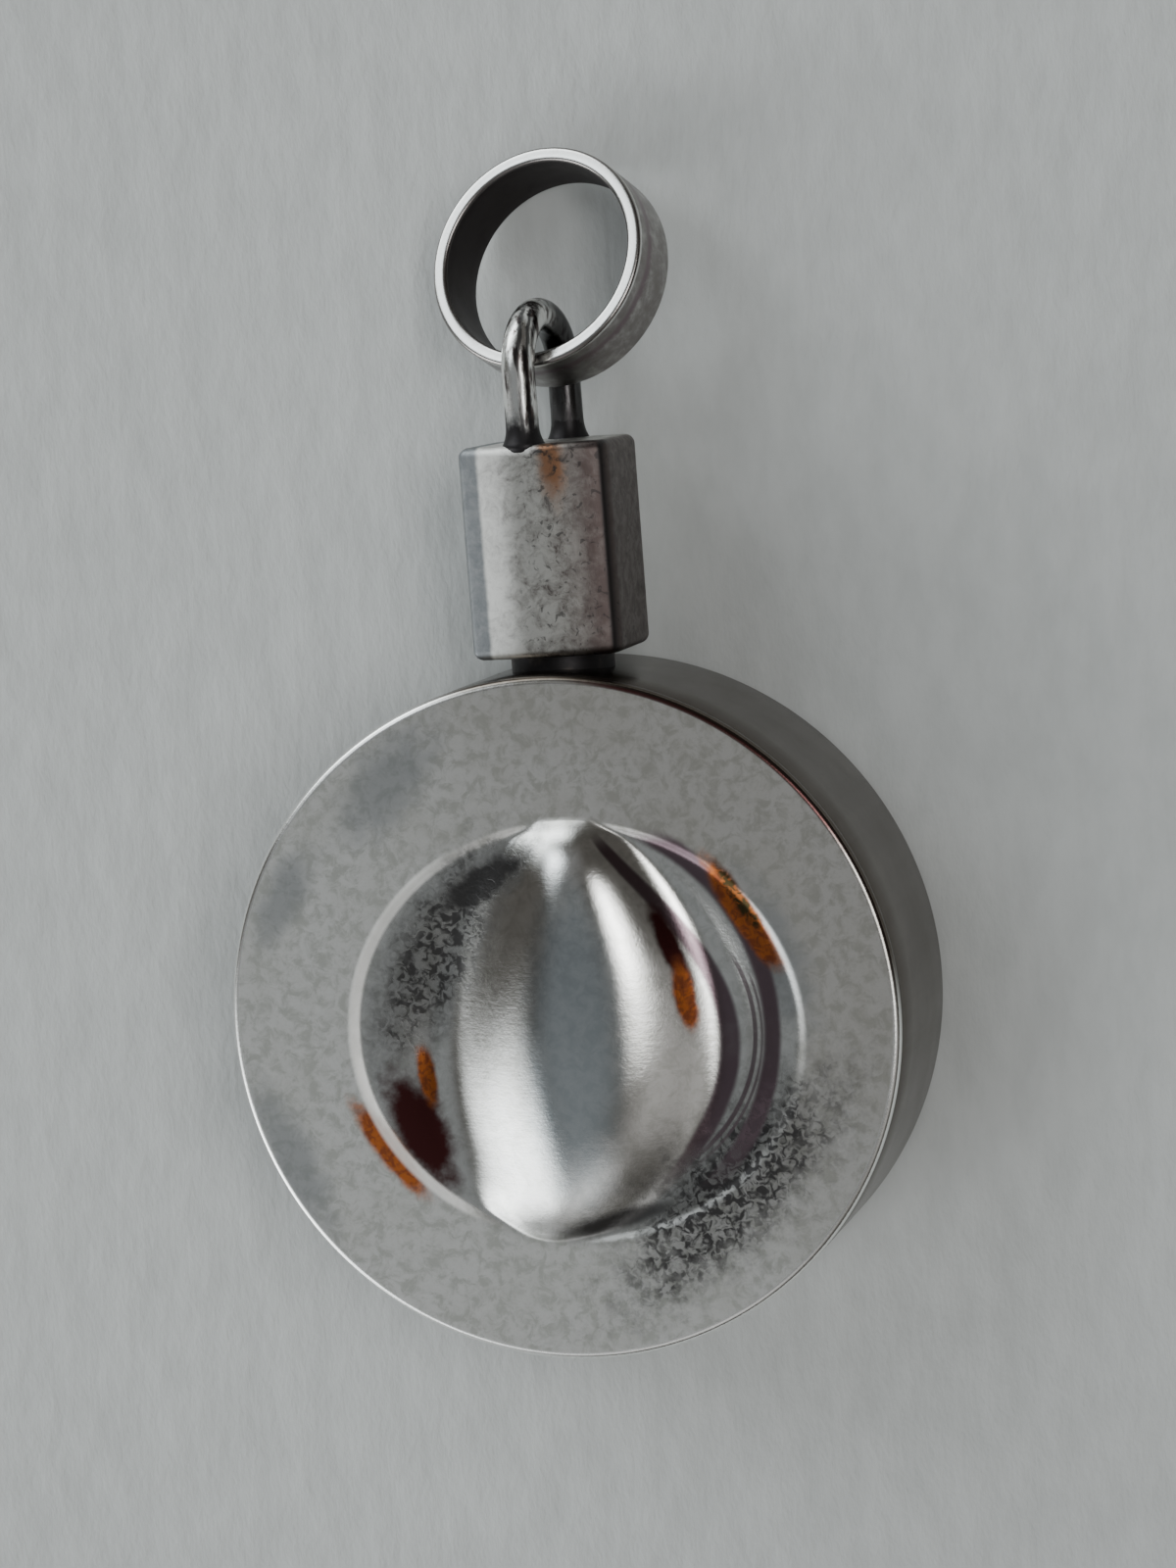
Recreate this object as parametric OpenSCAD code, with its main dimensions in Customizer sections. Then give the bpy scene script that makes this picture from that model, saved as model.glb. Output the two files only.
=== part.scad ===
// Silver perfume bottle pendant: a round flat flask, a square screw cap with a
// soldered wire loop, and a band ring in the loop. It lies on its back. The origin
// is the centre of the flask's back face, +Z is up through the moulded front and +Y
// points along the neck. All sizes are in millimetres.

/* [Flask] */
// Diameter of the round flask
flask_d = 25; // [22:0.5:30]
// Thickness of the flask from back face to front ring
flask_t = 8.4; // [8.2:0.1:8.7]
// Rounding of the flask's two outer edges
flask_edge_r = 0.35; // [0.2:0.05:0.5]
// Thickness of the sheet that the flask is made of
sheet_t = 0.7; // [0.5:0.05:0.8]

/* [Moulded front] */
// Half width of the oval recess, where its slope meets the flat ring
recess_half_w = 8.6; // [8.4:0.05:8.75]
// Half height of the oval recess
recess_half_h = 7.8; // [7.6:0.05:7.95]
// How far the recess lies to the right of the flask's centre
recess_x = 0.55; // [0.4:0.05:0.65]
// How far the recess lies below the flask's centre
recess_drop = 0.45; // [0.35:0.05:0.5]
// Depth of the bowl that the boss stands in, below the flat ring
recess_depth = 1.55; // [1.35:0.05:1.7]
// Power that rounds the bowl's slope near the lip
bowl_power = 1.8; // [1.5:0.1:2]
// How far the middle of the egg-shaped boss stands above the flat ring
boss_rise = 1.45; // [1.2:0.05:1.6]
// Slope of the boss's top, which leans down to the right
boss_tilt = 0.14; // [0.08:0.01:0.2]
// Distance from the boss's middle line to its left edge, at the ring's level
boss_left_w = 4.1; // [3.9:0.05:4.3]
// Distance from the boss's middle line to its right edge, at the ring's level
boss_right_w = 3.4; // [3.2:0.05:3.6]
// Height over which the boss's flank and the bowl run softly into each other
valley_softness = 2.8; // [2.4:0.1:3]

/* [Cap] */
// Width of the square cap
cap_w = 5.6; // [5.4:0.1:5.8]
// Depth of the square cap from front to back
cap_d = 5.6; // [5.4:0.1:6.2]
// Height of the cap
cap_h = 7.7; // [7.2:0.1:8.2]
// Rounding of the cap's four upright corners
cap_corner_r = 1; // [0.7:0.1:1.2]
// Radius of the arch that swells the cap's front and back
cap_swell_r = 8.5; // [7.5:0.5:14]
// Gap between the flask's side and the cap
cap_gap = 0.5; // [0.4:0.05:0.8]

/* [Neck] */
// Outer radius of the neck tube inside the cap
neck_r = 1.9; // [1.8:0.05:1.95]
// Radius of the bore that the perfume is poured through
neck_bore_r = 1.3; // [1:0.05:1.4]
// Radial clearance between the neck and the cap
neck_clearance = 0.05; // [0.03:0.01:0.08]
// How far the neck stands up inside the cap
neck_in_cap = 5.7; // [5:0.1:6]

/* [Loop] */
// Thickness of the loop's round wire
loop_wire_d = 1.2; // [1:0.05:1.25]
// Distance between the centre lines of the loop's two legs
loop_span = 4.1; // [4.05:0.05:4.2]
// Height of the loop above the cap
loop_h = 5.2; // [5:0.1:5.4]
// Turn of the loop's plane about the neck, so its front leg moves left
loop_turn = 8; // [4:1:12]

/* [Bail ring] */
// Radius of the middle of the ring's band
ring_r = 3.93; // [3.88:0.05:4.08]
// Width of the ring's band
ring_w = 2.55; // [2.3:0.05:2.6]
// Thickness of the ring's band
ring_t = 0.55; // [0.45:0.05:0.6]
// Distance from the cap's top to the middle of the ring
ring_above_cap = 6.25; // [6.15:0.05:6.3]
// Lean of the ring, so its far side rests on the surface below
ring_lean = 20.5; // [19:0.5:22]
// Turn of the ring about the neck's line
ring_turn = 11; // [8:1:13]

/* [Hidden] */

$fn = 96;
eps = 0.01;

flask_r = flask_d / 2;
mid_z = flask_t / 2;

// The boss fills the bowl's middle, so the hollows beside it are shallower than the bowl
// by this share. The front's inner roof lies one sheet below them.
hollow_share = 0.45;
roof_z = flask_t - hollow_share * recess_depth - sheet_t;
hollow_r = flask_r - sheet_t;
ring_inner_r = recess_half_w + recess_x + sheet_t / 2;

// The boss is highest at this y, and comes down to the ring's level this far towards
// the tip at the neck's side and towards the foot.
boss_peak_y = 0;
boss_tip_reach = 8;
boss_foot_reach = 7.9;
boss_arch_power = 1.6;
// Power that keeps the boss's top broad and its flanks steep.
boss_flank_power = 2.27;
// The boss narrows away from the middle, most of all towards the tip.
narrowing = 0.022;
narrowing_curve = 0.007;
// The boss's middle line bows to the right and bends to the left at the foot.
middle_x = 1.63;
middle_lean = 0.037;
middle_bow = 0.021;
bend_y = -1.5;
bend_reach = 6;
bend = 0.66;
bend_power = 3.25;
// Power of the share of the way to the lip, by which the boss is drawn down to the lip.
lip_power = 12;
// A shallow step at the recess's edge keeps the cut clear of the ring's plane.
rim_step = 0.02;
// Rings and spokes of the moulded surface, and the power that crowds rings at the lip.
relief_rings = 30;
relief_spokes = 96;
ring_crowding = 1.25;
// Height of the stock that the boss is cut from, above the flat ring.
stock_h = 2.2;
// The stock ends this far inside the recess's edge.
stock_inset = 0.1;

// The hollow behind the boss is an upright oval.
boss_hollow = [2.1, 4.6];
boss_hollow_at = [0.6, -1.0];
boss_hollow_top = flask_t + 0.5 - sheet_t / 2;

cap_y = flask_r + cap_gap;
cap_top_y = cap_y + cap_h;
cap_bore_r = neck_r + neck_clearance;
cap_bore_h = neck_in_cap + 0.3;
neck_top_y = cap_y + neck_in_cap;

loop_wire_r = loop_wire_d / 2;
loop_arch_r = loop_span / 2;
loop_leg_h = loop_h - loop_arch_r - loop_wire_r;
loop_root_r = 0.78;
loop_root_h = 0.4;

ring_edge_r = 0.16;
ring_outer_r = ring_r + ring_t / 2;
ring_floor_gap = 0.02;
// How low the leaning band reaches below its own centre.
ring_up = cos(ring_lean) * cos(ring_turn);
ring_reach = (ring_outer_r - ring_edge_r) * sqrt(1 - ring_up * ring_up)
    + (ring_w / 2 - ring_edge_r) * ring_up + ring_edge_r;
ring_z = ring_reach + ring_floor_gap;
// The band's lowest stretch passes through the middle of the loop.
ring_x = ring_r * sin(ring_lean) * sin(ring_turn);
ring_y = cap_top_y + ring_above_cap;

function middle_at(y) = middle_x + middle_lean * y - middle_bow * y * y
    - bend * pow(max(0, bend_y - y) / bend_reach, bend_power);

// Height of the boss's surface above the flat ring. It goes below the ring outside the
// boss, where the bowl is higher.
function boss_height(x, y, share) =
    let (away = x - middle_at(y),
         side_w = away < 0 ? boss_left_w : boss_right_w,
         across = away / side_w / (1 - narrowing * y - narrowing_curve * y * y),
         along = abs(y - boss_peak_y) / (y < boss_peak_y ? boss_foot_reach : boss_tip_reach),
         out = sqrt(across * across + pow(along, 2 * boss_arch_power)))
    boss_rise * (1 - pow(out, boss_flank_power)) - boss_tilt * away * (1 - share);

function bowl_height(share) = -recess_depth * pow(1 - share * share, bowl_power);

// The higher of two heights, rounded where they are close to each other.
function soft_higher(a, b, softness) =
    max(a, b) + softness / 6 * pow(max(0, 1 - abs(a - b) / softness), 3);

// A point of the moulded front, from its share of the way to the recess's edge and its
// angle about the recess's centre.
function relief_point(share, angle) =
    let (x = recess_x + recess_half_w * share * cos(angle),
         y = -recess_drop + recess_half_h * share * sin(angle),
         room = 1 - pow(share, lip_power),
         boss = boss_height(x, y, share))
    [x, y, flask_t - rim_step
        + soft_higher(bowl_height(share), boss > 0 ? boss * room : boss,
                      valley_softness * room + eps)];

function ring_share(i) = 1 - pow(1 - i / relief_rings, ring_crowding);

function recess_oval(inset, angle) = [recess_x + (recess_half_w - inset) * cos(angle),
                                      -recess_drop + (recess_half_h - inset) * sin(angle)];

spokes = [for (k = [0 : relief_spokes - 1]) 360 * k / relief_spokes];

// Everything above the moulded front, as one solid to cut away.
module relief_cutter() {
    top_z = flask_t + stock_h + 1;
    floor_points = [for (i = [1 : relief_rings], a = spokes) relief_point(ring_share(i), a)];
    top_points = [for (a = spokes) concat(recess_oval(0, a), top_z)];
    points = concat([relief_point(0, 0)], floor_points, top_points);
    n = relief_spokes;
    fan = [for (k = [0 : n - 1]) [0, 1 + k, 1 + (k + 1) % n]];
    bands = [for (i = [0 : relief_rings - 1], k = [0 : n - 1], half = [0, 1])
        let (a = 1 + i * n + k, b = 1 + i * n + (k + 1) % n)
        half == 0 ? [a, a + n, b + n] : [a, b + n, b]];
    lid = [for (k = [n - 1 : -1 : 0]) 1 + relief_rings * n + k];
    polyhedron(points = points, faces = concat(fan, bands, [lid]));
}

module drum_section() {
    square([flask_r - flask_edge_r, flask_t]);
    translate([0, flask_edge_r])
        square([flask_r, flask_t - 2 * flask_edge_r]);
    for (z = [flask_edge_r, flask_t - flask_edge_r])
        translate([flask_r - flask_edge_r, z])
            circle(flask_edge_r);
}

// The space for the perfume: full height under the flat ring, lower under the recess,
// with an oval pocket behind the boss.
module drum_hollow() {
    translate([0, 0, sheet_t])
        cylinder(r = hollow_r, h = roof_z - sheet_t);
    translate([0, 0, roof_z - eps])
        difference() {
            cylinder(r = hollow_r, h = flask_t - sheet_t - roof_z + eps);
            translate([0, 0, -1])
                cylinder(r = ring_inner_r, h = flask_t);
        }
    translate([boss_hollow_at[0], boss_hollow_at[1], roof_z - eps])
        linear_extrude(boss_hollow_top - roof_z + eps)
            polygon([for (a = [0 : 7.5 : 352.5])
                [boss_hollow[0] * cos(a), boss_hollow[1] * sin(a)]]);
}

// A cylinder along the neck's line, from one y to another.
module along_neck(r, from_y, to_y) {
    translate([0, from_y, mid_z])
        rotate([-90, 0, 0])
            cylinder(r = r, h = to_y - from_y);
}

module flask() {
    color("silver")
        difference() {
            union() {
                rotate_extrude()
                    drum_section();
                translate([0, 0, mid_z])
                    linear_extrude(mid_z + stock_h)
                        polygon([for (a = spokes) recess_oval(stock_inset, a)]);
                along_neck(neck_r, hollow_r - 0.2, neck_top_y);
            }
            relief_cutter();
            drum_hollow();
            along_neck(neck_bore_r, hollow_r - 1, neck_top_y + 1);
        }
}

module cap_section() {
    square([cap_w - 2 * cap_corner_r, cap_d], center = true);
    square([cap_w, cap_d - 2 * cap_corner_r], center = true);
    for (sx = [-1, 1], sy = [-1, 1])
        translate([sx * (cap_w / 2 - cap_corner_r), sy * (cap_d / 2 - cap_corner_r)])
            circle(cap_corner_r);
}

module cap_block() {
    translate([0, cap_y, mid_z])
        rotate([-90, 0, 0])
            intersection() {
                linear_extrude(cap_h)
                    cap_section();
                for (side = [-1, 1])
                    translate([0, side * (cap_swell_r - cap_d / 2), -1])
                        cylinder(r = cap_swell_r, h = cap_h + 2);
            }
}

// The wire loop stands on the cap's top, its plane nearly upright.
module loop() {
    translate([0, cap_top_y, mid_z])
        rotate([0, -loop_turn, 0])
            rotate([-90, 0, 0]) {
                for (side = [-1, 1])
                    translate([0, side * loop_arch_r, 0]) {
                        translate([0, 0, -0.3])
                            cylinder(r = loop_wire_r, h = loop_leg_h + 0.3);
                        cylinder(r1 = loop_root_r, r2 = loop_wire_r, h = loop_root_h);
                    }
                translate([0, 0, loop_leg_h])
                    rotate([90, 0, 90])
                        rotate_extrude(angle = 180)
                            translate([loop_arch_r, 0])
                                circle(loop_wire_r);
            }
}

module cap() {
    color("gainsboro")
        difference() {
            union() {
                cap_block();
                loop();
            }
            along_neck(cap_bore_r, cap_y - 1, cap_y + cap_bore_h);
        }
}

module ring_section() {
    inner_r = ring_r - ring_t / 2;
    translate([inner_r, -ring_w / 2 + ring_edge_r])
        square([ring_t, ring_w - 2 * ring_edge_r]);
    translate([inner_r + ring_edge_r, -ring_w / 2])
        square([ring_t - 2 * ring_edge_r, ring_w]);
    for (x = [inner_r + ring_edge_r, ring_outer_r - ring_edge_r], side = [-1, 1])
        translate([x, side * (ring_w / 2 - ring_edge_r)])
            circle(ring_edge_r);
}

module bail_ring() {
    color("lightgrey")
        translate([ring_x, ring_y, ring_z])
            rotate([0, -ring_turn, 0])
                rotate([-ring_lean, 0, 0])
                    rotate_extrude()
                        ring_section();
}

flask();
cap();
bail_ring();
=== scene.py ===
import math

import bpy
import numpy as np
from mathutils import Matrix, Vector


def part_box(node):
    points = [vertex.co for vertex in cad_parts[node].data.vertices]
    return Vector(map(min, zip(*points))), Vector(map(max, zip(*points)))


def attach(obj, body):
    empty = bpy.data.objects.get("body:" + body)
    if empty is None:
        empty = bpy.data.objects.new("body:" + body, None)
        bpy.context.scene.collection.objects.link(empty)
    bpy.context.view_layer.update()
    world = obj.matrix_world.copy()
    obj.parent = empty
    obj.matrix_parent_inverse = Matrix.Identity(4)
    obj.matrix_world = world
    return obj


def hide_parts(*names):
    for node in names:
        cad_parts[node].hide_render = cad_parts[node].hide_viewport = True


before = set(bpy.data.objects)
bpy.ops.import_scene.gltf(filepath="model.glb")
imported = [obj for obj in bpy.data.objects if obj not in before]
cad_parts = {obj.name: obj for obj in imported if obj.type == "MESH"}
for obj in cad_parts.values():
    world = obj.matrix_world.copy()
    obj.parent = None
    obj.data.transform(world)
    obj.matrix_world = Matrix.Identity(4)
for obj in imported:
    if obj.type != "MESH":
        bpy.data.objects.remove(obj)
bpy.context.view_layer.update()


# The view. The pendant lies on its back and is seen from above, a little from its
# right and from its neck's side, with its neck leaning to the left in the picture.
mm = 0.001
flask_thickness = 8.4
lens_mm = 101.25
film_mm = 36
seen_from_neck = math.radians(7.7)
seen_from_right = math.radians(15.0)
lean_in_picture = math.radians(4.5)
front_from_lens = Vector((-1.03, -8.56, -158.9)) * mm

camera_data = bpy.data.cameras.new("camera")
camera_data.sensor_fit = "VERTICAL"
camera_data.sensor_height = film_mm
camera_data.lens = lens_mm
camera_data.clip_start = 0.01
camera_data.clip_end = 20
camera = bpy.data.objects.new("camera", camera_data)
bpy.context.scene.collection.objects.link(camera)
pendant_to_lens = (
    Matrix.Translation(front_from_lens)
    @ Matrix.Rotation(seen_from_neck, 4, "X")
    @ Matrix.Rotation(-seen_from_right, 4, "Y")
    @ Matrix.Rotation(lean_in_picture, 4, "Z")
    @ Matrix.Translation((0, 0, -flask_thickness * mm))
)
camera.matrix_world = pendant_to_lens.inverted()
bpy.context.scene.camera = camera


# The flask. Two discs and a side band of sheet silver are soldered into a hollow
# drum. The front disc is pressed in a die: an oval recess in a flat ring, and in the
# recess a smooth egg-shaped boss, which leaves a crescent hollow on each side.
flask_radius = 12.5
edge_radius = 0.28
recess_half_width, recess_half_height = 8.6, 7.8
recess_x, recess_y = 0.55, -0.45
bowl_depth, bowl_power = 1.55, 1.8
boss_rise = 1.45
boss_tilt = 0.14
boss_left_width, boss_right_width = 4.1, 3.4
boss_tip_reach, boss_foot_reach = 8.0, 7.9
boss_arch_power, boss_flank_power = 1.6, 2.27
narrowing, narrowing_curve = 0.022, 0.007
middle_x, middle_lean, middle_bow = 1.63, 0.037, 0.021
bend_y, bend_reach, bend, bend_power = -1.5, 6.0, 0.66, 3.25
valley_softness = 2.8
lip_power = 12
below_ring = 0.02
lip_drop, lip_share, lip_round = 0.13, 0.995, 0.05


def relief(x, y):
    """Height of the pressed front above its flat ring, in mm: an egg in a shallow bowl."""
    share = np.minimum(np.hypot((x - recess_x) / recess_half_width, (y - recess_y) / recess_half_height), 1)
    room = 1 - share**lip_power
    middle = middle_x + middle_lean * y - middle_bow * y * y
    middle = middle - bend * (np.maximum(0, bend_y - y) / bend_reach) ** bend_power
    away = x - middle
    across = away / np.where(away < 0, boss_left_width, boss_right_width)
    across = across / (1 - narrowing * y - narrowing_curve * y * y)
    along = np.abs(y) / np.where(y < 0, boss_foot_reach, boss_tip_reach)
    out = np.sqrt(across**2 + along ** (2 * boss_arch_power))
    boss = boss_rise * (1 - out**boss_flank_power) - boss_tilt * away * (1 - share)
    boss = np.where(boss > 0, boss * room, boss)
    bowl = -bowl_depth * (1 - share**2) ** bowl_power
    over_lip = np.clip((lip_share - share) / lip_round, 0, 1)
    bowl = bowl - lip_drop * over_lip**2 * (3 - 2 * over_lip) * share**6
    softness = valley_softness * room + 1e-6
    valley = softness / 6 * np.maximum(0, 1 - np.abs(bowl - boss) / softness) ** 3
    return np.maximum(bowl, boss) + valley - below_ring * room


def skin(name, rings, fill_first=False, fill_last=False):
    """A mesh over closed rings of points given in mm, each ring joined to the next."""
    rings = np.asarray(rings, float)
    count, spokes = rings.shape[:2]
    points = rings.reshape(-1, 3)
    faces = []
    for ring in range(count - 1):
        for spoke in range(spokes):
            a = ring * spokes + spoke
            b = ring * spokes + (spoke + 1) % spokes
            faces.append((a, b, b + spokes, a + spokes))
    for fill, ring, turned in ((fill_first, 0, True), (fill_last, count - 1, False)):
        if fill:
            middle = len(points)
            points = np.vstack([points, rings[ring].mean(axis=0)])
            for spoke in range(spokes):
                a = ring * spokes + spoke
                b = ring * spokes + (spoke + 1) % spokes
                faces.append((b, a, middle) if turned else (a, b, middle))
    mesh = bpy.data.meshes.new(name)
    mesh.from_pydata((points * mm).tolist(), [], faces)
    mesh.polygons.foreach_set("use_smooth", [True] * len(mesh.polygons))
    piece = bpy.data.objects.new(name, mesh)
    bpy.context.scene.collection.objects.link(piece)
    return piece


def arc(middle, radius, start, end, steps):
    """Points on an arc in a plane, angles in degrees."""
    angles = np.radians(np.linspace(start, end, steps))
    return np.stack([middle[0] + radius * np.cos(angles), middle[1] + radius * np.sin(angles)], 1)


spokes = 288
angles = np.linspace(0, 2 * np.pi, spokes, endpoint=False)
rings = []
for share in np.linspace(0.004, 1, 96) ** 0.85:
    x = recess_x + recess_half_width * share * np.cos(angles)
    y = recess_y + recess_half_height * share * np.sin(angles)
    rings.append(np.stack([x, y, flask_thickness + relief(x, y)], 1))
lip_x, lip_y = rings[-1][:, 0], rings[-1][:, 1]
flat_edge = flask_radius - edge_radius
for share in (0.03, 0.1, 0.25, 0.45, 0.65, 0.85, 0.95, 0.985):
    x = lip_x + (flat_edge * np.cos(angles) - lip_x) * share
    y = lip_y + (flat_edge * np.sin(angles) - lip_y) * share
    rings.append(np.stack([x, y, np.full(spokes, flask_thickness)], 1))
seam_z = flask_thickness - 0.42
seam_depth = 0.03
profile = [*arc((flat_edge, flask_thickness - edge_radius), edge_radius, 90, 0, 9)]
profile += [(flask_radius, seam_z + 0.07), (flask_radius - seam_depth, seam_z)]
profile += [(flask_radius, seam_z - 0.07), (flask_radius, 6.0), (flask_radius, 4.2), (flask_radius, 2.2)]
profile += [*arc((flat_edge, edge_radius), edge_radius, 0, -90, 9)]
profile += [(flat_edge - 0.1, 0), (10, 0), (6, 0), (2, 0)]
for radius, z in profile:
    rings.append(np.stack([radius * np.cos(angles), radius * np.sin(angles), np.full(spokes, z)], 1))
flask = skin("flask_body", rings, fill_first=True, fill_last=True)
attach(flask, "flask")
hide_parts("flask")


class Value:
    """A socket of a shader, so that sums over it read as sums."""

    def __init__(self, tree, socket):
        self.tree = tree
        self.socket = socket

    def node(self, kind, settings, inputs, output=0):
        """Any node, from its type, its settings and what goes into its sockets."""
        made = self.tree.nodes.new(kind)
        for name, setting in settings.items():
            setattr(made, name, setting)
        for name, given in inputs.items():
            if isinstance(given, Value):
                self.tree.links.new(given.socket, made.inputs[name])
            else:
                made.inputs[name].default_value = given
        return Value(self.tree, made.outputs[output])

    def maths(self, operation, *values):
        return self.node("ShaderNodeMath", {"operation": operation}, dict(enumerate(values)))

    def vectors(self, operation, other, output=0):
        return self.node("ShaderNodeVectorMath", {"operation": operation}, {0: self, 1: other}, output)

    def __add__(self, other):
        return self.maths("ADD", self, other)

    __radd__ = __add__

    def __sub__(self, other):
        return self.maths("SUBTRACT", self, other)

    def __rsub__(self, other):
        return self.maths("SUBTRACT", other, self)

    def __mul__(self, other):
        return self.maths("MULTIPLY", self, other)

    __rmul__ = __mul__

    def __truediv__(self, other):
        return self.maths("DIVIDE", self, other)

    def __pow__(self, other):
        return self.maths("POWER", self, other)

    def __abs__(self):
        return self.maths("ABSOLUTE", self)

    def most(self, other):
        return self.maths("MAXIMUM", self, other)

    def ramp(self, start, end):
        """Rises smoothly from 0 at start to 1 at end. Start may be the higher one."""
        inputs = {"Value": self, "From Min": start, "From Max": end}
        return self.node("ShaderNodeMapRange", {"interpolation_type": "SMOOTHSTEP"}, inputs)

    def tint(self, colour, over):
        """This mask lays a colour over another."""
        return self.node("ShaderNodeMix", {"data_type": "RGBA"}, {0: self, 6: over, 7: colour}, 2)

    def along(self, way):
        """How far the place lies along a direction."""
        return self.vectors("DOT_PRODUCT", way, 1)

    def grain(self, size, detail=3.0, roughness=0.55, twist=0.0):
        """Soft noise around 0.5, with lumps of about a size in mm."""
        inputs = {"Vector": self, "Scale": 1 / size, "Detail": detail}
        inputs.update({"Roughness": roughness, "Distortion": twist})
        return self.node("ShaderNodeTexNoise", {}, inputs)

    def blot(self, centre, half_size, turn, soft, rag):
        """1 inside an oval and 0 outside its soft edge, which rag shifts from place to place."""
        cos, sin = math.cos(math.radians(turn)), math.sin(math.radians(turn))
        offset = self.vectors("SUBTRACT", (*centre, 0))
        u = offset.along((cos / half_size[0], sin / half_size[0], 0))
        v = offset.along((-sin / half_size[1], cos / half_size[1], 0))
        return ((u * u + v * v) ** 0.5 + rag).ramp(1 + soft, 1 - soft)


def rgb(red, green, blue):
    return (red, green, blue, 1)


def places(tree, kind):
    """The places that a shader is worked out at: on a piece, or as ways out into the room."""
    return Value(tree, None).node("ShaderNodeTexCoord", {}, {}, kind)


def start_metal(name):
    """A new metal: the material, and places on the piece in mm."""
    metal = bpy.data.materials.new(name)
    metal.use_nodes = True
    return metal, places(metal.node_tree, "Object").vectors("MULTIPLY", (1 / mm,) * 3)


def finish_metal(metal, colour, roughness, height, depth, piece):
    """Feeds the metal's shader and puts it on the piece. Height is a mask, as deep as depth in mm."""
    tree = metal.node_tree
    shader = tree.nodes["Principled BSDF"]
    shader.inputs["Metallic"].default_value = 1.0
    bump = height.node("ShaderNodeBump", {}, {"Strength": 1.0, "Distance": depth * mm, "Height": height})
    tree.links.new(colour.socket, shader.inputs["Base Color"])
    tree.links.new(roughness.socket, shader.inputs["Roughness"])
    tree.links.new(bump.socket, shader.inputs["Normal"])
    piece.data.materials.append(metal)


clean_silver_and_highlight = rgb(0.90, 0.90, 0.875)
hazy_silver = rgb(0.76, 0.76, 0.725)
blue_bloom_and_reflection = rgb(0.30, 0.32, 0.335)
slate_reflection = rgb(0.56, 0.645, 0.70)
green_haze = rgb(0.56, 0.57, 0.52)
black_oxide_and_shade = rgb(0.035, 0.033, 0.034)
painted_brown_shade = rgb(0.22, 0.18, 0.15)
side_tarnish_and_shade = rgb(0.08, 0.062, 0.048)
copper_reflection = rgb(0.46, 0.135, 0.035)
olive_reflection = rgb(0.06, 0.045, 0.02)
wine_stain_and_reflection = rgb(0.12, 0.035, 0.035)
plum_stain_and_reflection = rgb(0.20, 0.145, 0.165)

# The patches on the front, each with its centre and half size in mm and its turn in degrees.
blue_patches = (
    ((-5.8, 8.9), (2.3, 1.1), 47),
    ((-10.1, 4.9), (1.8, 0.7), 60),
    ((-10.6, -4.9), (2.8, 0.9), -68),
    ((8.0, 2.3), (2.6, 1.0), -70),
)
# A painted reflection: a bluish patch on the boss's crest.
boss_reflection_patch = ((0.75, -0.9), (5.4, 1.7), 88)
dirt_right = ((5.9, -6.3), (5.8, 2.1), 44)
dirt_left = ((-4.5, 2.6), (4.3, 1.5), 60)
# A painted shade line along the boss's foot.
dirt_at_tip = ((-2.6, 5.1), (2.2, 0.8), 30)
painted_shade_at_foot = ((1.8, -7.3), (2.6, 0.4), 14)
# The wine and orange patches are painted reflections on the hollows' walls.
wine_reflection_patches = (((-5.6, -3.9), (2.2, 0.9), -66), ((4.4, 2.5), (1.7, 0.3), -70))
orange_reflection_patches = (
    ((4.75, 0.8), (1.3, 0.36), -82),
    ((-6.8, -4.6), (2.1, 0.5), -55),
    ((-5.3, -1.9), (1.1, 0.33), -82),
)
large_orange_reflection = ((7.0, 3.7), (2.4, 0.5), -60)
olive_spot_in_reflection = ((6.95, 4.35), (1.5, 0.3), -60)
seam_radius = 12.32

metal, at = start_metal("silver_flask")
x, y, z = at.along((1, 0, 0)), at.along((0, 1, 0)), at.along((0, 0, 1))
flat = at.vectors("MULTIPLY", (1, 1, 0))
rag = (flat.grain(0.8, 4, 0.6) - 0.5) * 1.2
fine = at.grain(0.12, 4, 0.7)
veil = at.grain(2.4, 5, 0.62)
worms = flat.grain(0.3, 2, 0.5, 1.0).ramp(0.4, 0.62)

lean_away = x - middle_x - y * middle_lean + y * y * middle_bow
across = lean_away / (1 - narrowing * y - narrowing_curve * y * y) / boss_right_width
lip_u, lip_v = (x - recess_x) / recess_half_width, (y - recess_y) / recess_half_height
share = (lip_u * lip_u + lip_v * lip_v) ** 0.5
front = z.ramp(3.0, 5.0)
pressed = share.ramp(1.02, 0.9) * front
whole = (x * x + y * y) ** 0.5
side = whole.ramp(flask_radius - 0.25, flask_radius - 0.08)

haze = (veil.ramp(0.35, 0.7) * 0.8 + fine.ramp(0.45, 0.75) * 0.5) * (1 - 0.75 * pressed)
colour = haze.tint(hazy_silver, clean_silver_and_highlight)
speckle = flat.grain(0.55, 4, 0.68, 0.5)
colour = (speckle.ramp(0.42, 0.64) * (0.75 - 0.35 * pressed)).tint(green_haze, colour)
# Painted shade: the flat ring and side are tinted brown more and more towards the upper right, away from
# the window.
painted_shade_away_from_window = (x * 0.8 + y * 0.6 + veil * 5).ramp(-2, 13) * (1 - pressed)
colour = (painted_shade_away_from_window * 0.42).tint(painted_brown_shade, colour)
# The side band is painted dark brown: partly tarnish, partly painted shade for the shadowed floor it
# mirrors.
colour = (side * (0.85 + 0.15 * veil)).tint(side_tarnish_and_shade, colour)
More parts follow.
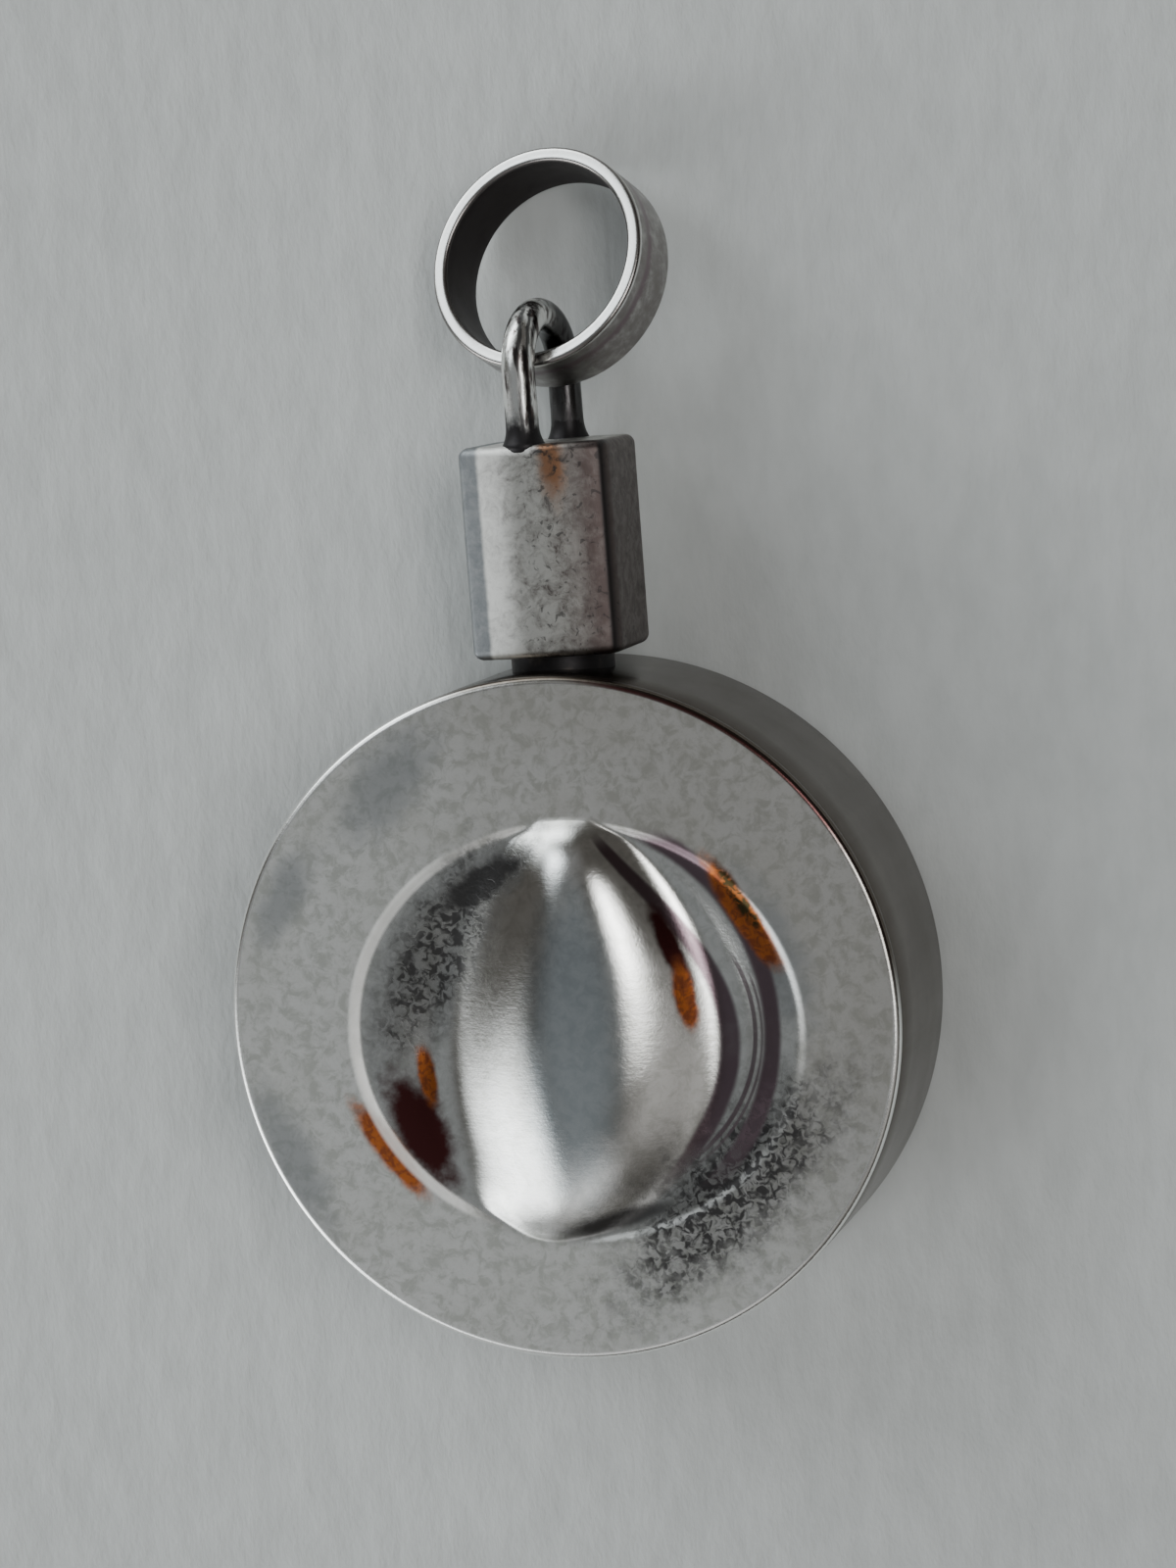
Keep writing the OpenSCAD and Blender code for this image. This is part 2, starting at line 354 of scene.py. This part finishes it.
# Painted reflection: the boss's crest is tinted slate and blue.
lens = flat.blot(*boss_reflection_patch, 0.35, rag * 0.35) * front
colour = (lens * (0.35 + 0.4 * speckle)).tint(slate_reflection, colour)
colour = (lens * y.ramp(-3.5, 3.5) * (0.2 + 0.5 * speckle)).tint(blue_bloom_and_reflection, colour)
for patch in blue_patches:
    colour = (flat.blot(*patch, 0.6, rag) * front * 0.6).tint(blue_bloom_and_reflection, colour)
dirt_and_foot_shade = flat.blot(*dirt_right, 0.55, rag) * (0.97 - 0.36 * worms)
dirt_and_foot_shade = dirt_and_foot_shade.most(flat.blot(*dirt_left, 0.5, rag) * (0.93 - 0.42 * worms))
dirt_and_foot_shade = dirt_and_foot_shade.most(flat.blot(*dirt_at_tip, 0.5, rag) * 0.95)
# The line at the boss's foot is painted shade; the other dark patches are dirt.
dirt_and_foot_shade = dirt_and_foot_shade.most(flat.blot(*painted_shade_at_foot, 0.6, rag * 0.5) * 0.9) * front
colour = dirt_and_foot_shade.tint(black_oxide_and_shade, colour)

# Thin purple stripes along the right hollow are painted reflections of streaks in its polish.
from_widest = (y + 1) * (y + 1)
ends = y.ramp(-7.5, -4.0) * y.ramp(7.4, 6.0) * across.ramp(0.3, 0.55) * front
painted_reflection_stripes = abs(across - 1.33 + 0.0135 * from_widest).ramp(0.17, 0.06)
painted_reflection_stripes = painted_reflection_stripes.most(abs(share - 0.84 - 0.0025 * from_widest).ramp(0.06, 0.02))
painted_reflection_stripes = painted_reflection_stripes.most(abs(share - 0.765).ramp(0.016, 0.006) * y.ramp(3.0, 1.5) * 0.8)
painted_reflection_stripes = painted_reflection_stripes.most(abs(share - 0.795).ramp(0.01, 0.004) * y.ramp(2.2, 1.0) * 0.7) * ends
colour = (painted_reflection_stripes * (0.6 + 0.6 * veil)).ramp(0.15, 0.95).tint(plum_stain_and_reflection, colour)
# Painted reflections: wine, orange and olive patches on the hollows' walls.
for patch in wine_reflection_patches:
    colour = (flat.blot(*patch, 0.35, rag * 0.8) * front).tint(wine_stain_and_reflection, colour)
orange_reflection = flat.blot(*large_orange_reflection, 0.25, rag * 0.4)
olive_reflection_spot = orange_reflection * flat.blot(*olive_spot_in_reflection, 0.3, rag)
for patch in orange_reflection_patches:
    orange_reflection = orange_reflection.most(flat.blot(*patch, 0.3, rag * 0.5))
orange_reflection = orange_reflection * front
colour = orange_reflection.tint((worms * 0.55).tint(wine_stain_and_reflection, copper_reflection), colour)
colour = (olive_reflection_spot * front * (0.4 + 0.6 * worms)).tint(olive_reflection, colour)

# The front's outer edge is rubbed bright, and dark red along its solder on the upper right.
to_upper_right = x * 0.57 + y * 0.82
seam = abs(whole - seam_radius).ramp(0.09, 0.03) * to_upper_right.ramp(10.6, 11.6) * z.ramp(8.0, 8.2)
colour = (seam * 0.9).tint(wine_stain_and_reflection, colour)
rim = whole.ramp(12.2, 12.26) * z.ramp(8.1, 8.2)
colour = (rim * (1 - seam) * to_upper_right.ramp(9, 6)).tint(clean_silver_and_highlight, colour)
# A painted highlight: a white line along the recess's left lip.
painted_highlight_lip = abs(share - 0.975).ramp(0.035, 0.01) * x.ramp(-3, -5) * front
colour = (painted_highlight_lip * 0.8).tint(clean_silver_and_highlight, colour)

roughness = 0.34 - 0.24 * pressed - 0.12 * side - 0.12 * rim + 0.3 * painted_highlight_lip
roughness = roughness + 0.09 * (veil - 0.5) + 0.06 * fine + 0.2 * dirt_and_foot_shade + 0.1 * orange_reflection
scratches = at.vectors("MULTIPLY", (0.5, 7, 1)).grain(0.8, 3, 0.6)
height = fine + worms * dirt_and_foot_shade + scratches * 0.5 + speckle * 0.6
finish_metal(metal, colour, roughness, height, 0.0035, flask)


# The neck. A short tube is soldered into the side band, and the cap goes over it. It
# is painted nearly black: painted shade for the gap under the cap.
neck_radius = 1.9
neck_bore = 1.3
neck_from = 12.3
neck_to = 18.7
neck_z = flask_thickness / 2
rounding_from = neck_to - 0.15
rounding = ((0.02, 0.07), (0.07, 0.13), (0.15, 0.15))
profile = [(neck_radius, neck_from), (neck_radius, 15), (neck_radius, rounding_from)]
profile += [(neck_radius - r, rounding_from + h) for r, h in rounding]
profile += [(neck_bore + r, rounding_from + h) for r, h in reversed(rounding)]
profile += [(neck_bore, rounding_from), (neck_bore, 15), (neck_bore, neck_from)]
turn = np.linspace(0, 2 * np.pi, 96, endpoint=False)
rings = []
for radius, along in profile:
    x, z = radius * np.sin(turn), neck_z + radius * np.cos(turn)
    rings.append(np.stack([x, np.full(96, along), z], 1))
neck = skin("neck", rings, fill_last=True)
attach(neck, "flask")
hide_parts("flask")

metal, at = start_metal("silver_neck")
fine = at.grain(0.15, 4, 0.7)
neck_mottle = at.grain(0.6, 4, 0.6).ramp(0.5, 0.75)
# Painted shade: the neck is nearly black, with brown mottling.
finish_metal(metal, (neck_mottle * 0.25).tint(painted_brown_shade, black_oxide_and_shade), 0.4 + 0.2 * fine, fine, 0.004, neck)


# The cap. A square block of silver with rounded corners and slightly swollen front
# and back is bored out to screw over the neck.
cap_from = 13.0
cap_to = 20.7
cap_width = 5.6
cap_depth = 5.6
cap_corner = 1.0
cap_swell = 8.5
cap_edge = 0.34
cap_bore = 1.95
cap_bore_to = 19.0


def cap_outline(inset):
    """The cap's outline, drawn in by an inset: a rounded square with a swollen front and back."""
    corner = cap_corner - inset * 0.6
    reach_x, reach_z = cap_width / 2 - inset - corner, cap_depth / 2 - inset - corner
    outline = []
    for quarter, (way_x, way_z) in enumerate(((1, 1), (-1, 1), (-1, -1), (1, -1))):
        outline += [*arc((way_x * reach_x, way_z * reach_z), corner, 90 * quarter, 90 * quarter + 90, 13)]
        next_x, next_z = ((-1, 1), (-1, -1), (1, -1), (1, 1))[quarter]
        start = outline[-1]
        end = arc((next_x * reach_x, next_z * reach_z), corner, 90 * quarter + 90, 0, 2)[0]
        outline += [start + (end - start) * share for share in np.linspace(0, 1, 14)[1:-1]]
    outline = np.array(outline)
    limit = cap_depth / 2 - inset - (cap_swell - np.sqrt(cap_swell**2 - outline[:, 0] ** 2))
    outline[:, 1] = np.clip(outline[:, 1], -limit, limit)
    return outline


def cap_ring(along, inset):
    outline = cap_outline(inset)
    return np.stack([outline[:, 0], np.full(len(outline), along), neck_z + outline[:, 1]], 1)


def bore_ring(along, radius):
    outline = cap_outline(0.0)
    way = outline / np.hypot(outline[:, 0], outline[:, 1])[:, None] * radius
    return np.stack([way[:, 0], np.full(len(way), along), neck_z + way[:, 1]], 1)


rings = [bore_ring(cap_bore_to, cap_bore), bore_ring(16.5, cap_bore), bore_ring(cap_from + 0.15, cap_bore)]
rings += [bore_ring(cap_from, cap_bore + 0.12)]
rings += [cap_ring(cap_from, cap_edge + 0.05)]
for out, up in arc((0, 0), 1, 90, 0, 7)[1:]:
    rings.append(cap_ring(cap_from + cap_edge * (1 - up), cap_edge * (1 - out)))
for share in (0.08, 0.3, 0.5, 0.7, 0.92):
    rings.append(cap_ring(cap_from + (cap_to - cap_from) * share, 0))
for out, up in arc((0, 0), 1, 0, 90, 7):
    rings.append(cap_ring(cap_to - cap_edge * (1 - up), cap_edge * (1 - out)))
rings.append(cap_ring(cap_to, cap_edge + 0.1))
rings.append(cap_ring(cap_to, 1.2))
cap = skin("cap_body", rings, fill_first=True, fill_last=True)
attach(cap, "cap")
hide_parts("cap")

worn_silver = rgb(0.62, 0.61, 0.575)
bluish_reflection = rgb(0.17, 0.185, 0.20)
brown_reflection = rgb(0.30, 0.135, 0.06)
mauve_oxide_and_shade = rgb(0.10, 0.078, 0.074)
grey_wear = rgb(0.33, 0.315, 0.295)
# A painted reflection spot near the top of the cap's front.
reflection_spot_on_cap = ((0.85, 20.1), (0.45, 1.3), 4)
metal, at = start_metal("silver_cap")
x, y, z = at.along((1, 0, 0)), at.along((0, 1, 0)), at.along((0, 0, 1))
fine = at.grain(0.12, 4, 0.7)
scratches = at.vectors("MULTIPLY", (7, 0.7, 7)).grain(0.7, 4, 0.7)
mottle = at.grain(0.55, 5, 0.72, 0.4)
rag = (at.grain(0.6, 4, 0.6) - 0.5) * 1.3
front = z.ramp(neck_z + 1.6, neck_z + 2.2)
colour = (mottle.ramp(0.40, 0.60) * 0.8).tint(grey_wear, worn_silver)
colour = (mottle.ramp(0.56, 0.70) * 0.85).tint(mauve_oxide_and_shade, colour)
# Painted highlights: a light band down the front's left and along its top edge.
painted_highlight_band = (x + rag * 0.3).ramp(-0.4, -1.5) * front
painted_highlight_band = painted_highlight_band.most(y.ramp(cap_to - 0.4, cap_to - 0.25) * x.ramp(1.0, -1.0))
colour = (painted_highlight_band * (0.85 - 0.5 * mottle)).tint(clean_silver_and_highlight, colour)
# A painted reflection: a bluish strip down the rounded left corner.
painted_reflection_strip = (x + rag * 0.1).ramp(-1.85, -2.05)
colour = (painted_reflection_strip * (0.65 + 0.4 * mottle)).tint(bluish_reflection, colour)
# Painted shade with tarnish mottling: the front darkens towards its right, and the right face is dark.
painted_shade_strip = (x + rag * 0.5).ramp(0.2, 2.3) * front
colour = (painted_shade_strip * (0.8 + 0.35 * mottle)).tint(mauve_oxide_and_shade, colour)
shaded_right_face = x.ramp(2.35, 2.7)
colour = (shaded_right_face * (0.7 + 0.4 * mottle)).tint(mauve_oxide_and_shade, colour)
# Painted shade: a black line down the right front corner.
corner = (abs(x - 2.62).ramp(0.16, 0.02)) * z.ramp(neck_z + 1.2, neck_z + 1.9)
colour = (corner * 0.85).tint(black_oxide_and_shade, colour)
flat = at.vectors("MULTIPLY", (1, 1, 0))
# A painted reflection: a brown spot near the top of the front.
painted_reflection_spot = flat.blot(*reflection_spot_on_cap, 0.6, rag) * front
colour = (painted_reflection_spot * 0.9).tint((mottle.ramp(0.45, 0.62)).tint(black_oxide_and_shade, brown_reflection), colour)
dots = at.grain(0.35, 2, 0.5, 1.2).ramp(0.61, 0.68) * (x + rag * 0.5).ramp(-1.3, 0.2)
colour = (dots * 0.6).tint(black_oxide_and_shade, colour)
roughness = 0.28 + 0.14 * mottle + 0.08 * fine + 0.06 * shaded_right_face + 0.04 * painted_shade_strip
roughness = roughness - 0.08 * painted_reflection_strip + 0.2 * painted_highlight_band
height = scratches * 0.5 + fine * 0.6 + mottle * 0.9
finish_metal(metal, colour, roughness, height, 0.006, cap)


# The loop. A length of round wire is bent into a narrow arch and soldered on the
# cap's top, where the solder has run up round its feet and gone black.
wire_radius = 0.6
arch_radius = 2.05
loop_height = 5.2
loop_turn = math.radians(8)
foot_flare = 0.17
foot_height = 0.7
leg_top = loop_height - arch_radius - wire_radius
heights = (-0.25, 0.0, 0.06, 0.14, 0.24, 0.36, 0.5, 0.7, 1.1, 1.6, 2.1, 2.4)
path = [(arch_radius, height) for height in heights]
path += [tuple(point) for point in arc((0, leg_top), arch_radius, 0, 180, 41)]
path += [(-arch_radius, height) for height in reversed(heights)]
path = np.array(path)
ways = np.gradient(path, axis=0)
ways /= np.hypot(ways[:, 0], ways[:, 1])[:, None]
turn = np.linspace(0, 2 * np.pi, 32, endpoint=False)
rings = []
for (across, height), (way_across, way_up) in zip(path, ways):
    flare = foot_flare * max(0.0, 1 - max(0.0, height) / foot_height) ** 2.2
    out = (wire_radius + flare) * np.cos(turn)
    sideways = (wire_radius + flare) * np.sin(turn)
    u = across + out * way_up
    x = sideways * math.cos(loop_turn) - u * math.sin(loop_turn)
    z = sideways * math.sin(loop_turn) + u * math.cos(loop_turn)
    rings.append(np.stack([x, cap_to + height - out * way_across, neck_z + z], 1))
loop = skin("loop", rings, fill_first=True, fill_last=True)
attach(loop, "cap")
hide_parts("cap")

metal, at = start_metal("silver_loop")
x, y, z = at.along((1, 0, 0)), at.along((0, 1, 0)), at.along((0, 0, 1))
fine = at.grain(0.12, 4, 0.7)
mottle = at.grain(0.5, 4, 0.65)
streaks = at.vectors("MULTIPLY", (1, 0.2, 1)).grain(0.3, 3, 0.6)
foot = (y + mottle * 1.2).ramp(cap_to + 2.1, cap_to + 1.1)
# Painted shade: the lower leg, under the upper one, is nearly black.
shaded_lower_leg = z.ramp(neck_z + 0.6, neck_z - 0.6) * 0.95
front_leg = z.ramp(neck_z + 1.0, neck_z + 1.4)
# Painted shade: two dark lines down the upper leg stand for grooves that are not modelled.
painted_groove_shade = abs(x + 0.12 + (streaks - 0.5) * 0.3).ramp(0.11, 0.03)
painted_groove_shade = painted_groove_shade.most(abs(x - 0.16 + (streaks - 0.5) * 0.3).ramp(0.09, 0.03)) * front_leg
colour = streaks.ramp(0.46, 0.62).tint(mauve_oxide_and_shade, clean_silver_and_highlight)
colour = (painted_groove_shade * 0.85).tint(black_oxide_and_shade, colour)
# Black solder at the feet, and painted shade on the lower leg.
colour = foot.most(shaded_lower_leg).tint(black_oxide_and_shade, colour)
roughness = 0.16 + 0.12 * mottle + 0.25 * foot + 0.1 * painted_groove_shade
finish_metal(metal, colour, roughness, fine * 0.6 + mottle, 0.006, loop)


# The bail ring. A strip of silver is bent round and soldered into a plain band, which
# the neck chain passes through. Its rims are rubbed bright and its inside is black.
ring_middle = 3.93
ring_band = 2.55
ring_wall = 0.55
ring_edge = 0.16
ring_lean = math.radians(20.5)
ring_turn = math.radians(11)
ring_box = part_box("bail_ring")
ring_centre = [(low + high) / 2 / mm for low, high in zip(*ring_box)]
inner, outer = ring_middle - ring_wall / 2 + ring_edge, ring_middle + ring_wall / 2 - ring_edge
top = ring_band / 2 - ring_edge
section = [*arc((outer, top), ring_edge, 0, 90, 7), *arc((inner, top), ring_edge, 90, 180, 7)]
section += [(inner - ring_edge, top * share) for share in (0.6, 0.2, -0.2, -0.6)]
section += [*arc((inner, -top), ring_edge, 180, 270, 7), *arc((outer, -top), ring_edge, 270, 360, 7)]
section += [(outer + ring_edge, top * share) for share in (-0.6, -0.2, 0.2, 0.6)]
turn = np.linspace(0, 2 * np.pi, 240, endpoint=False)
rings = []
for radius, height in [*section, section[0]]:
    rings.append(np.stack([radius * np.cos(turn), radius * np.sin(turn), np.full(240, height)], 1))
pose = Matrix.Rotation(-ring_turn, 3, "Y") @ Matrix.Rotation(-ring_lean, 3, "X")
rings = np.array(rings) @ np.array(pose).T + np.array(ring_centre)
bail_ring = skin("bail_band", rings)
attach(bail_ring, "cap")
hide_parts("bail_ring")

inside_black = rgb(0.022, 0.015, 0.016)
metal, at = start_metal("silver_ring")
fine = at.grain(0.12, 4, 0.7)
mottle = at.grain(0.6, 4, 0.65)
from_middle = at.vectors("SUBTRACT", tuple(ring_centre))
up = from_middle.along(tuple(pose @ Vector((0, 0, 1))))
whole = from_middle.vectors("LENGTH", (0, 0, 0), 1)
out_from_axis = (whole * whole - up * up) ** 0.5
inside = out_from_axis.ramp(ring_middle - 0.1, ring_middle - 0.2) * up.ramp(top + 0.15, top)
outside = out_from_axis.ramp(ring_middle + 0.06, ring_middle + 0.2) * up.ramp(top + 0.12, top - 0.1)
colour = mottle.ramp(0.5, 0.75).tint(hazy_silver, clean_silver_and_highlight)
colour = ((outside * (0.45 + 0.9 * mottle)).ramp(0.2, 1.0) * 0.8).tint(mauve_oxide_and_shade, colour)
streak = abs(up - 0.45 + (mottle - 0.5) * 0.5).ramp(0.3, 0.05) * outside
colour = (streak * 0.8).tint(plum_stain_and_reflection, colour)
dark_edges = abs(out_from_axis - ring_middle).ramp(0.1, 0.24) * up.ramp(top, top + 0.1)
colour = (dark_edges * 0.85).tint(mauve_oxide_and_shade, colour)
colour = (inside * 0.97).tint(inside_black, colour)
roughness = 0.17 + 0.12 * mottle + 0.25 * inside + 0.1 * outside
finish_metal(metal, colour, roughness, fine * 0.5 + mottle, 0.005, bail_ring)


# The floor and the light. Pale matt paper lies under the pendant. Low soft windows
# stand on the left, a small lamp hangs high on the right, and the room is dim.
reach = 4.0
floor_mesh = bpy.data.meshes.new("floor")
corners = [(-reach, -reach, 0), (reach, -reach, 0), (reach, reach, 0), (-reach, reach, 0)]
floor_mesh.from_pydata(corners, [], [(0, 1, 2, 3)])
floor = bpy.data.objects.new("floor", floor_mesh)
bpy.context.scene.collection.objects.link(floor)

bright_fibre = rgb(0.65, 0.67, 0.66)
dull_fibre = rgb(0.58, 0.60, 0.59)
paper = bpy.data.materials.new("paper")
paper.use_nodes = True
tree = paper.node_tree
shader = tree.nodes["Principled BSDF"]
at = places(tree, "Object").vectors("MULTIPLY", (1 / mm,) * 3)
fibres = at.vectors("MULTIPLY", (1.6, 0.7, 1)).grain(2.2, 5, 0.6)
colour = fibres.ramp(0.25, 0.75).tint(bright_fibre, dull_fibre)
tree.links.new(colour.socket, shader.inputs["Base Color"])
shader.inputs["Roughness"].default_value = 0.9
bump = fibres.node("ShaderNodeBump", {}, {"Strength": 1.0, "Distance": 0.12 * mm, "Height": fibres})
tree.links.new(bump.socket, shader.inputs["Normal"])
floor_mesh.materials.append(paper)

world = bpy.data.worlds.new("studio")
bpy.context.scene.world = world
world.use_nodes = True
tree = world.node_tree
sky = places(tree, "Generated")


def card(facing, level, half_width, half_height, soft):
    """A mask for a soft rectangle of the surroundings, seen in a direction. Sizes in degrees."""
    facing = Vector(facing).normalized()
    level = (Vector(level) - facing * facing.dot(level)).normalized()
    upright = facing.cross(level)
    ahead = sky.along(tuple(facing))
    mask = ahead.ramp(0.0, 0.05)
    for way, half in ((level, half_width), (upright, half_height)):
        edge = math.tan(math.radians(half))
        mask = mask * abs(sky.along(tuple(way)) / ahead).ramp(edge + soft, edge - soft)
    return mask


def compass(turn, rise):
    """A direction from its turn about the vertical and its rise, and a level one across it."""
    turn, rise = math.radians(turn), math.radians(rise)
    facing = (math.cos(turn) * math.cos(rise), math.sin(turn) * math.cos(rise), math.sin(rise))
    return facing, (-math.sin(turn), math.cos(turn), 0)


dim_room = rgb(0.078, 0.073, 0.067)
below_floor = rgb(0.1, 0.1, 0.1)
light = sky.along((0, 0, 1)).ramp(-0.05, 0.0).tint(dim_room, below_floor)

# Each soft light has its turn and rise, its half width and half height, how soft its edge
# is, and its colour. A later one hides what it overlaps of an earlier one.
for turn, rise, half_width, half_height, soft, colour in (
    (215, 73, 26, 24, 0.35, rgb(0.21, 0.22, 0.225)),
    (115, 52, 20, 14, 0.3, rgb(0.2, 0.2, 0.2)),
    (265, 40, 18, 12, 0.3, rgb(0.9, 0.9, 0.9)),
    (-30, 42, 18, 12, 0.3, rgb(0.42, 0.41, 0.4)),
    (140, 42, 10, 7, 0.22, rgb(4.2, 4.5, 4.7)),
    (235, 10, 16, 12, 0.25, rgb(0.6, 0.62, 0.63)),
    (127, 12, 25, 12, 0.25, rgb(5.2, 5.5, 5.6)),
    (222, 36, 14, 4.5, 0.22, rgb(4.8, 5.0, 5.1)),
    (207, 9, 6, 16, 0.4, rgb(12.0, 12.5, 12.7)),
    (13, 60, 14, 7, 0.2, rgb(8.0, 8.0, 7.9)),
):
    light = card(*compass(turn, rise), half_width, half_height, soft).tint(colour, light)
background = tree.nodes["Background"]
tree.links.new(light.socket, background.inputs["Color"])
background.inputs["Strength"].default_value = 1.0
